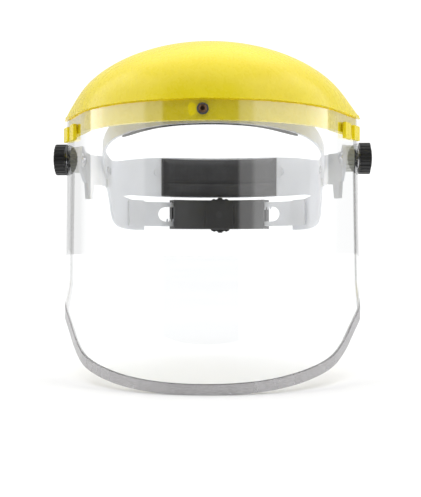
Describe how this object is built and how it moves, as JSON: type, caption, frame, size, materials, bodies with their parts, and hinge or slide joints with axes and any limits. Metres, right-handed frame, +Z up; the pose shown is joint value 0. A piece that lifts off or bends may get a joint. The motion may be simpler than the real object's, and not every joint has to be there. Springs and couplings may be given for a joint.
{
  "type": "face shield",
  "caption": "Head-worn face shield: clear bent visor with a metal-bound edge under a domed brow guard, tilting on temple knobs over a ratchet headgear.",
  "frame": {"origin": "midway between the two temple pivots, at the centre of the wearer's head", "axes": "+X to the wearer's left (right in a front view), -Y out of the face, +Z up; the pivot axis lies along X"},
  "size_m": [0.2558, 0.2902, 0.2564],
  "materials": {
    "clear_visor": "clear polished sheet",
    "edge_binding": "satin rolled strip",
    "brow_guard": "glossy moulded yellow",
    "bright_metal": "plated",
    "dark_metal": "dark coated head",
    "frosted_plastic": "frosted natural moulding",
    "spacer_plastic": "grey natural moulding",
    "sweatband": "black padded fabric",
    "rear_pad": "black padded fabric",
    "black_plastic": "satin black moulding",
    "dark_nylon": "dark nylon",
    "knob_plastic": "black ribbed moulding",
    "washer_rubber": "rubber",
    "nut_brass": "turned brass"
  },
  "bodies": {
    "headgear": {"front_headband": "frosted_plastic", "sweatband": "sweatband", "rear_cradle": "frosted_plastic", "rear_pad": "rear_pad", "rear_pad_studs": "frosted_plastic", "ratchet_plate": "black_plastic", "ratchet_cover": "black_plastic", "detent_spring": "dark_nylon", "left_arm": "frosted_plastic", "left_arm_rivets": "bright_metal", "left_pivot_bolt": "bright_metal", "left_spacer_disc": "spacer_plastic", "left_friction_washer": "washer_rubber", "left_outer_washer": "bright_metal", "right_arm": "frosted_plastic", "right_arm_rivets": "bright_metal", "right_pivot_bolt": "bright_metal", "right_spacer_disc": "spacer_plastic", "right_friction_washer": "washer_rubber", "right_outer_washer": "bright_metal"},
    "shield": {"visor": "clear_visor", "visor_binding": "edge_binding", "brow_guard": "brow_guard", "brow_band": "brow_guard", "front_eyelet": "bright_metal", "front_stud": "dark_metal", "front_nut": "bright_metal"},
    "rear_knob": {"ratchet_knob": "knob_plastic", "ratchet_pinion": "dark_nylon", "detent_wheel": "dark_nylon", "knob_screw": "bright_metal"},
    "left_strap": {"left_nape_strap": "frosted_plastic"},
    "right_strap": {"right_nape_strap": "frosted_plastic"},
    "left_knob": {"left_tension_knob": "knob_plastic", "left_knob_nut": "nut_brass", "left_knob_cap": "knob_plastic"},
    "right_knob": {"right_tension_knob": "knob_plastic", "right_knob_nut": "nut_brass", "right_knob_cap": "knob_plastic"}
  },
  "joints": [
    {"name": "visor_tilt", "type": "hinge", "parent": "headgear", "child": "shield", "pos_m": [0, 0, 0], "axis": [-1, 0, 0], "range_deg": [0, 75]},
    {"name": "left_knob_turn", "type": "hinge", "parent": "headgear", "child": "left_knob", "pos_m": [-0.12, 0, 0], "axis": [-1, 0, 0], "range_deg": [0, 360]},
    {"name": "right_knob_turn", "type": "hinge", "parent": "headgear", "child": "right_knob", "pos_m": [0.12, 0, 0], "axis": [1, 0, 0], "range_deg": [0, 360]},
    {"name": "ratchet_turn", "type": "hinge", "parent": "headgear", "child": "rear_knob", "pos_m": [0, 0.156, -0.0396], "axis": [0, 1, 0], "range_deg": [-229.18, 171.89]},
    {"name": "left_strap_travel", "type": "hinge", "parent": "headgear", "child": "left_strap", "pos_m": [0, 0.056, 0], "axis": [0, 0, 1], "range_deg": [-13.08, 9.86]},
    {"name": "right_strap_travel", "type": "hinge", "parent": "headgear", "child": "right_strap", "pos_m": [0, 0.056, 0], "axis": [0, 0, 1], "range_deg": [-10.06, 13.35]}
  ],
  "couplings": [
    {"joint": "left_strap_travel", "follows": "ratchet_turn", "ratio": 0.056211},
    {"joint": "right_strap_travel", "follows": "ratchet_turn", "ratio": -0.057372}
  ]
}
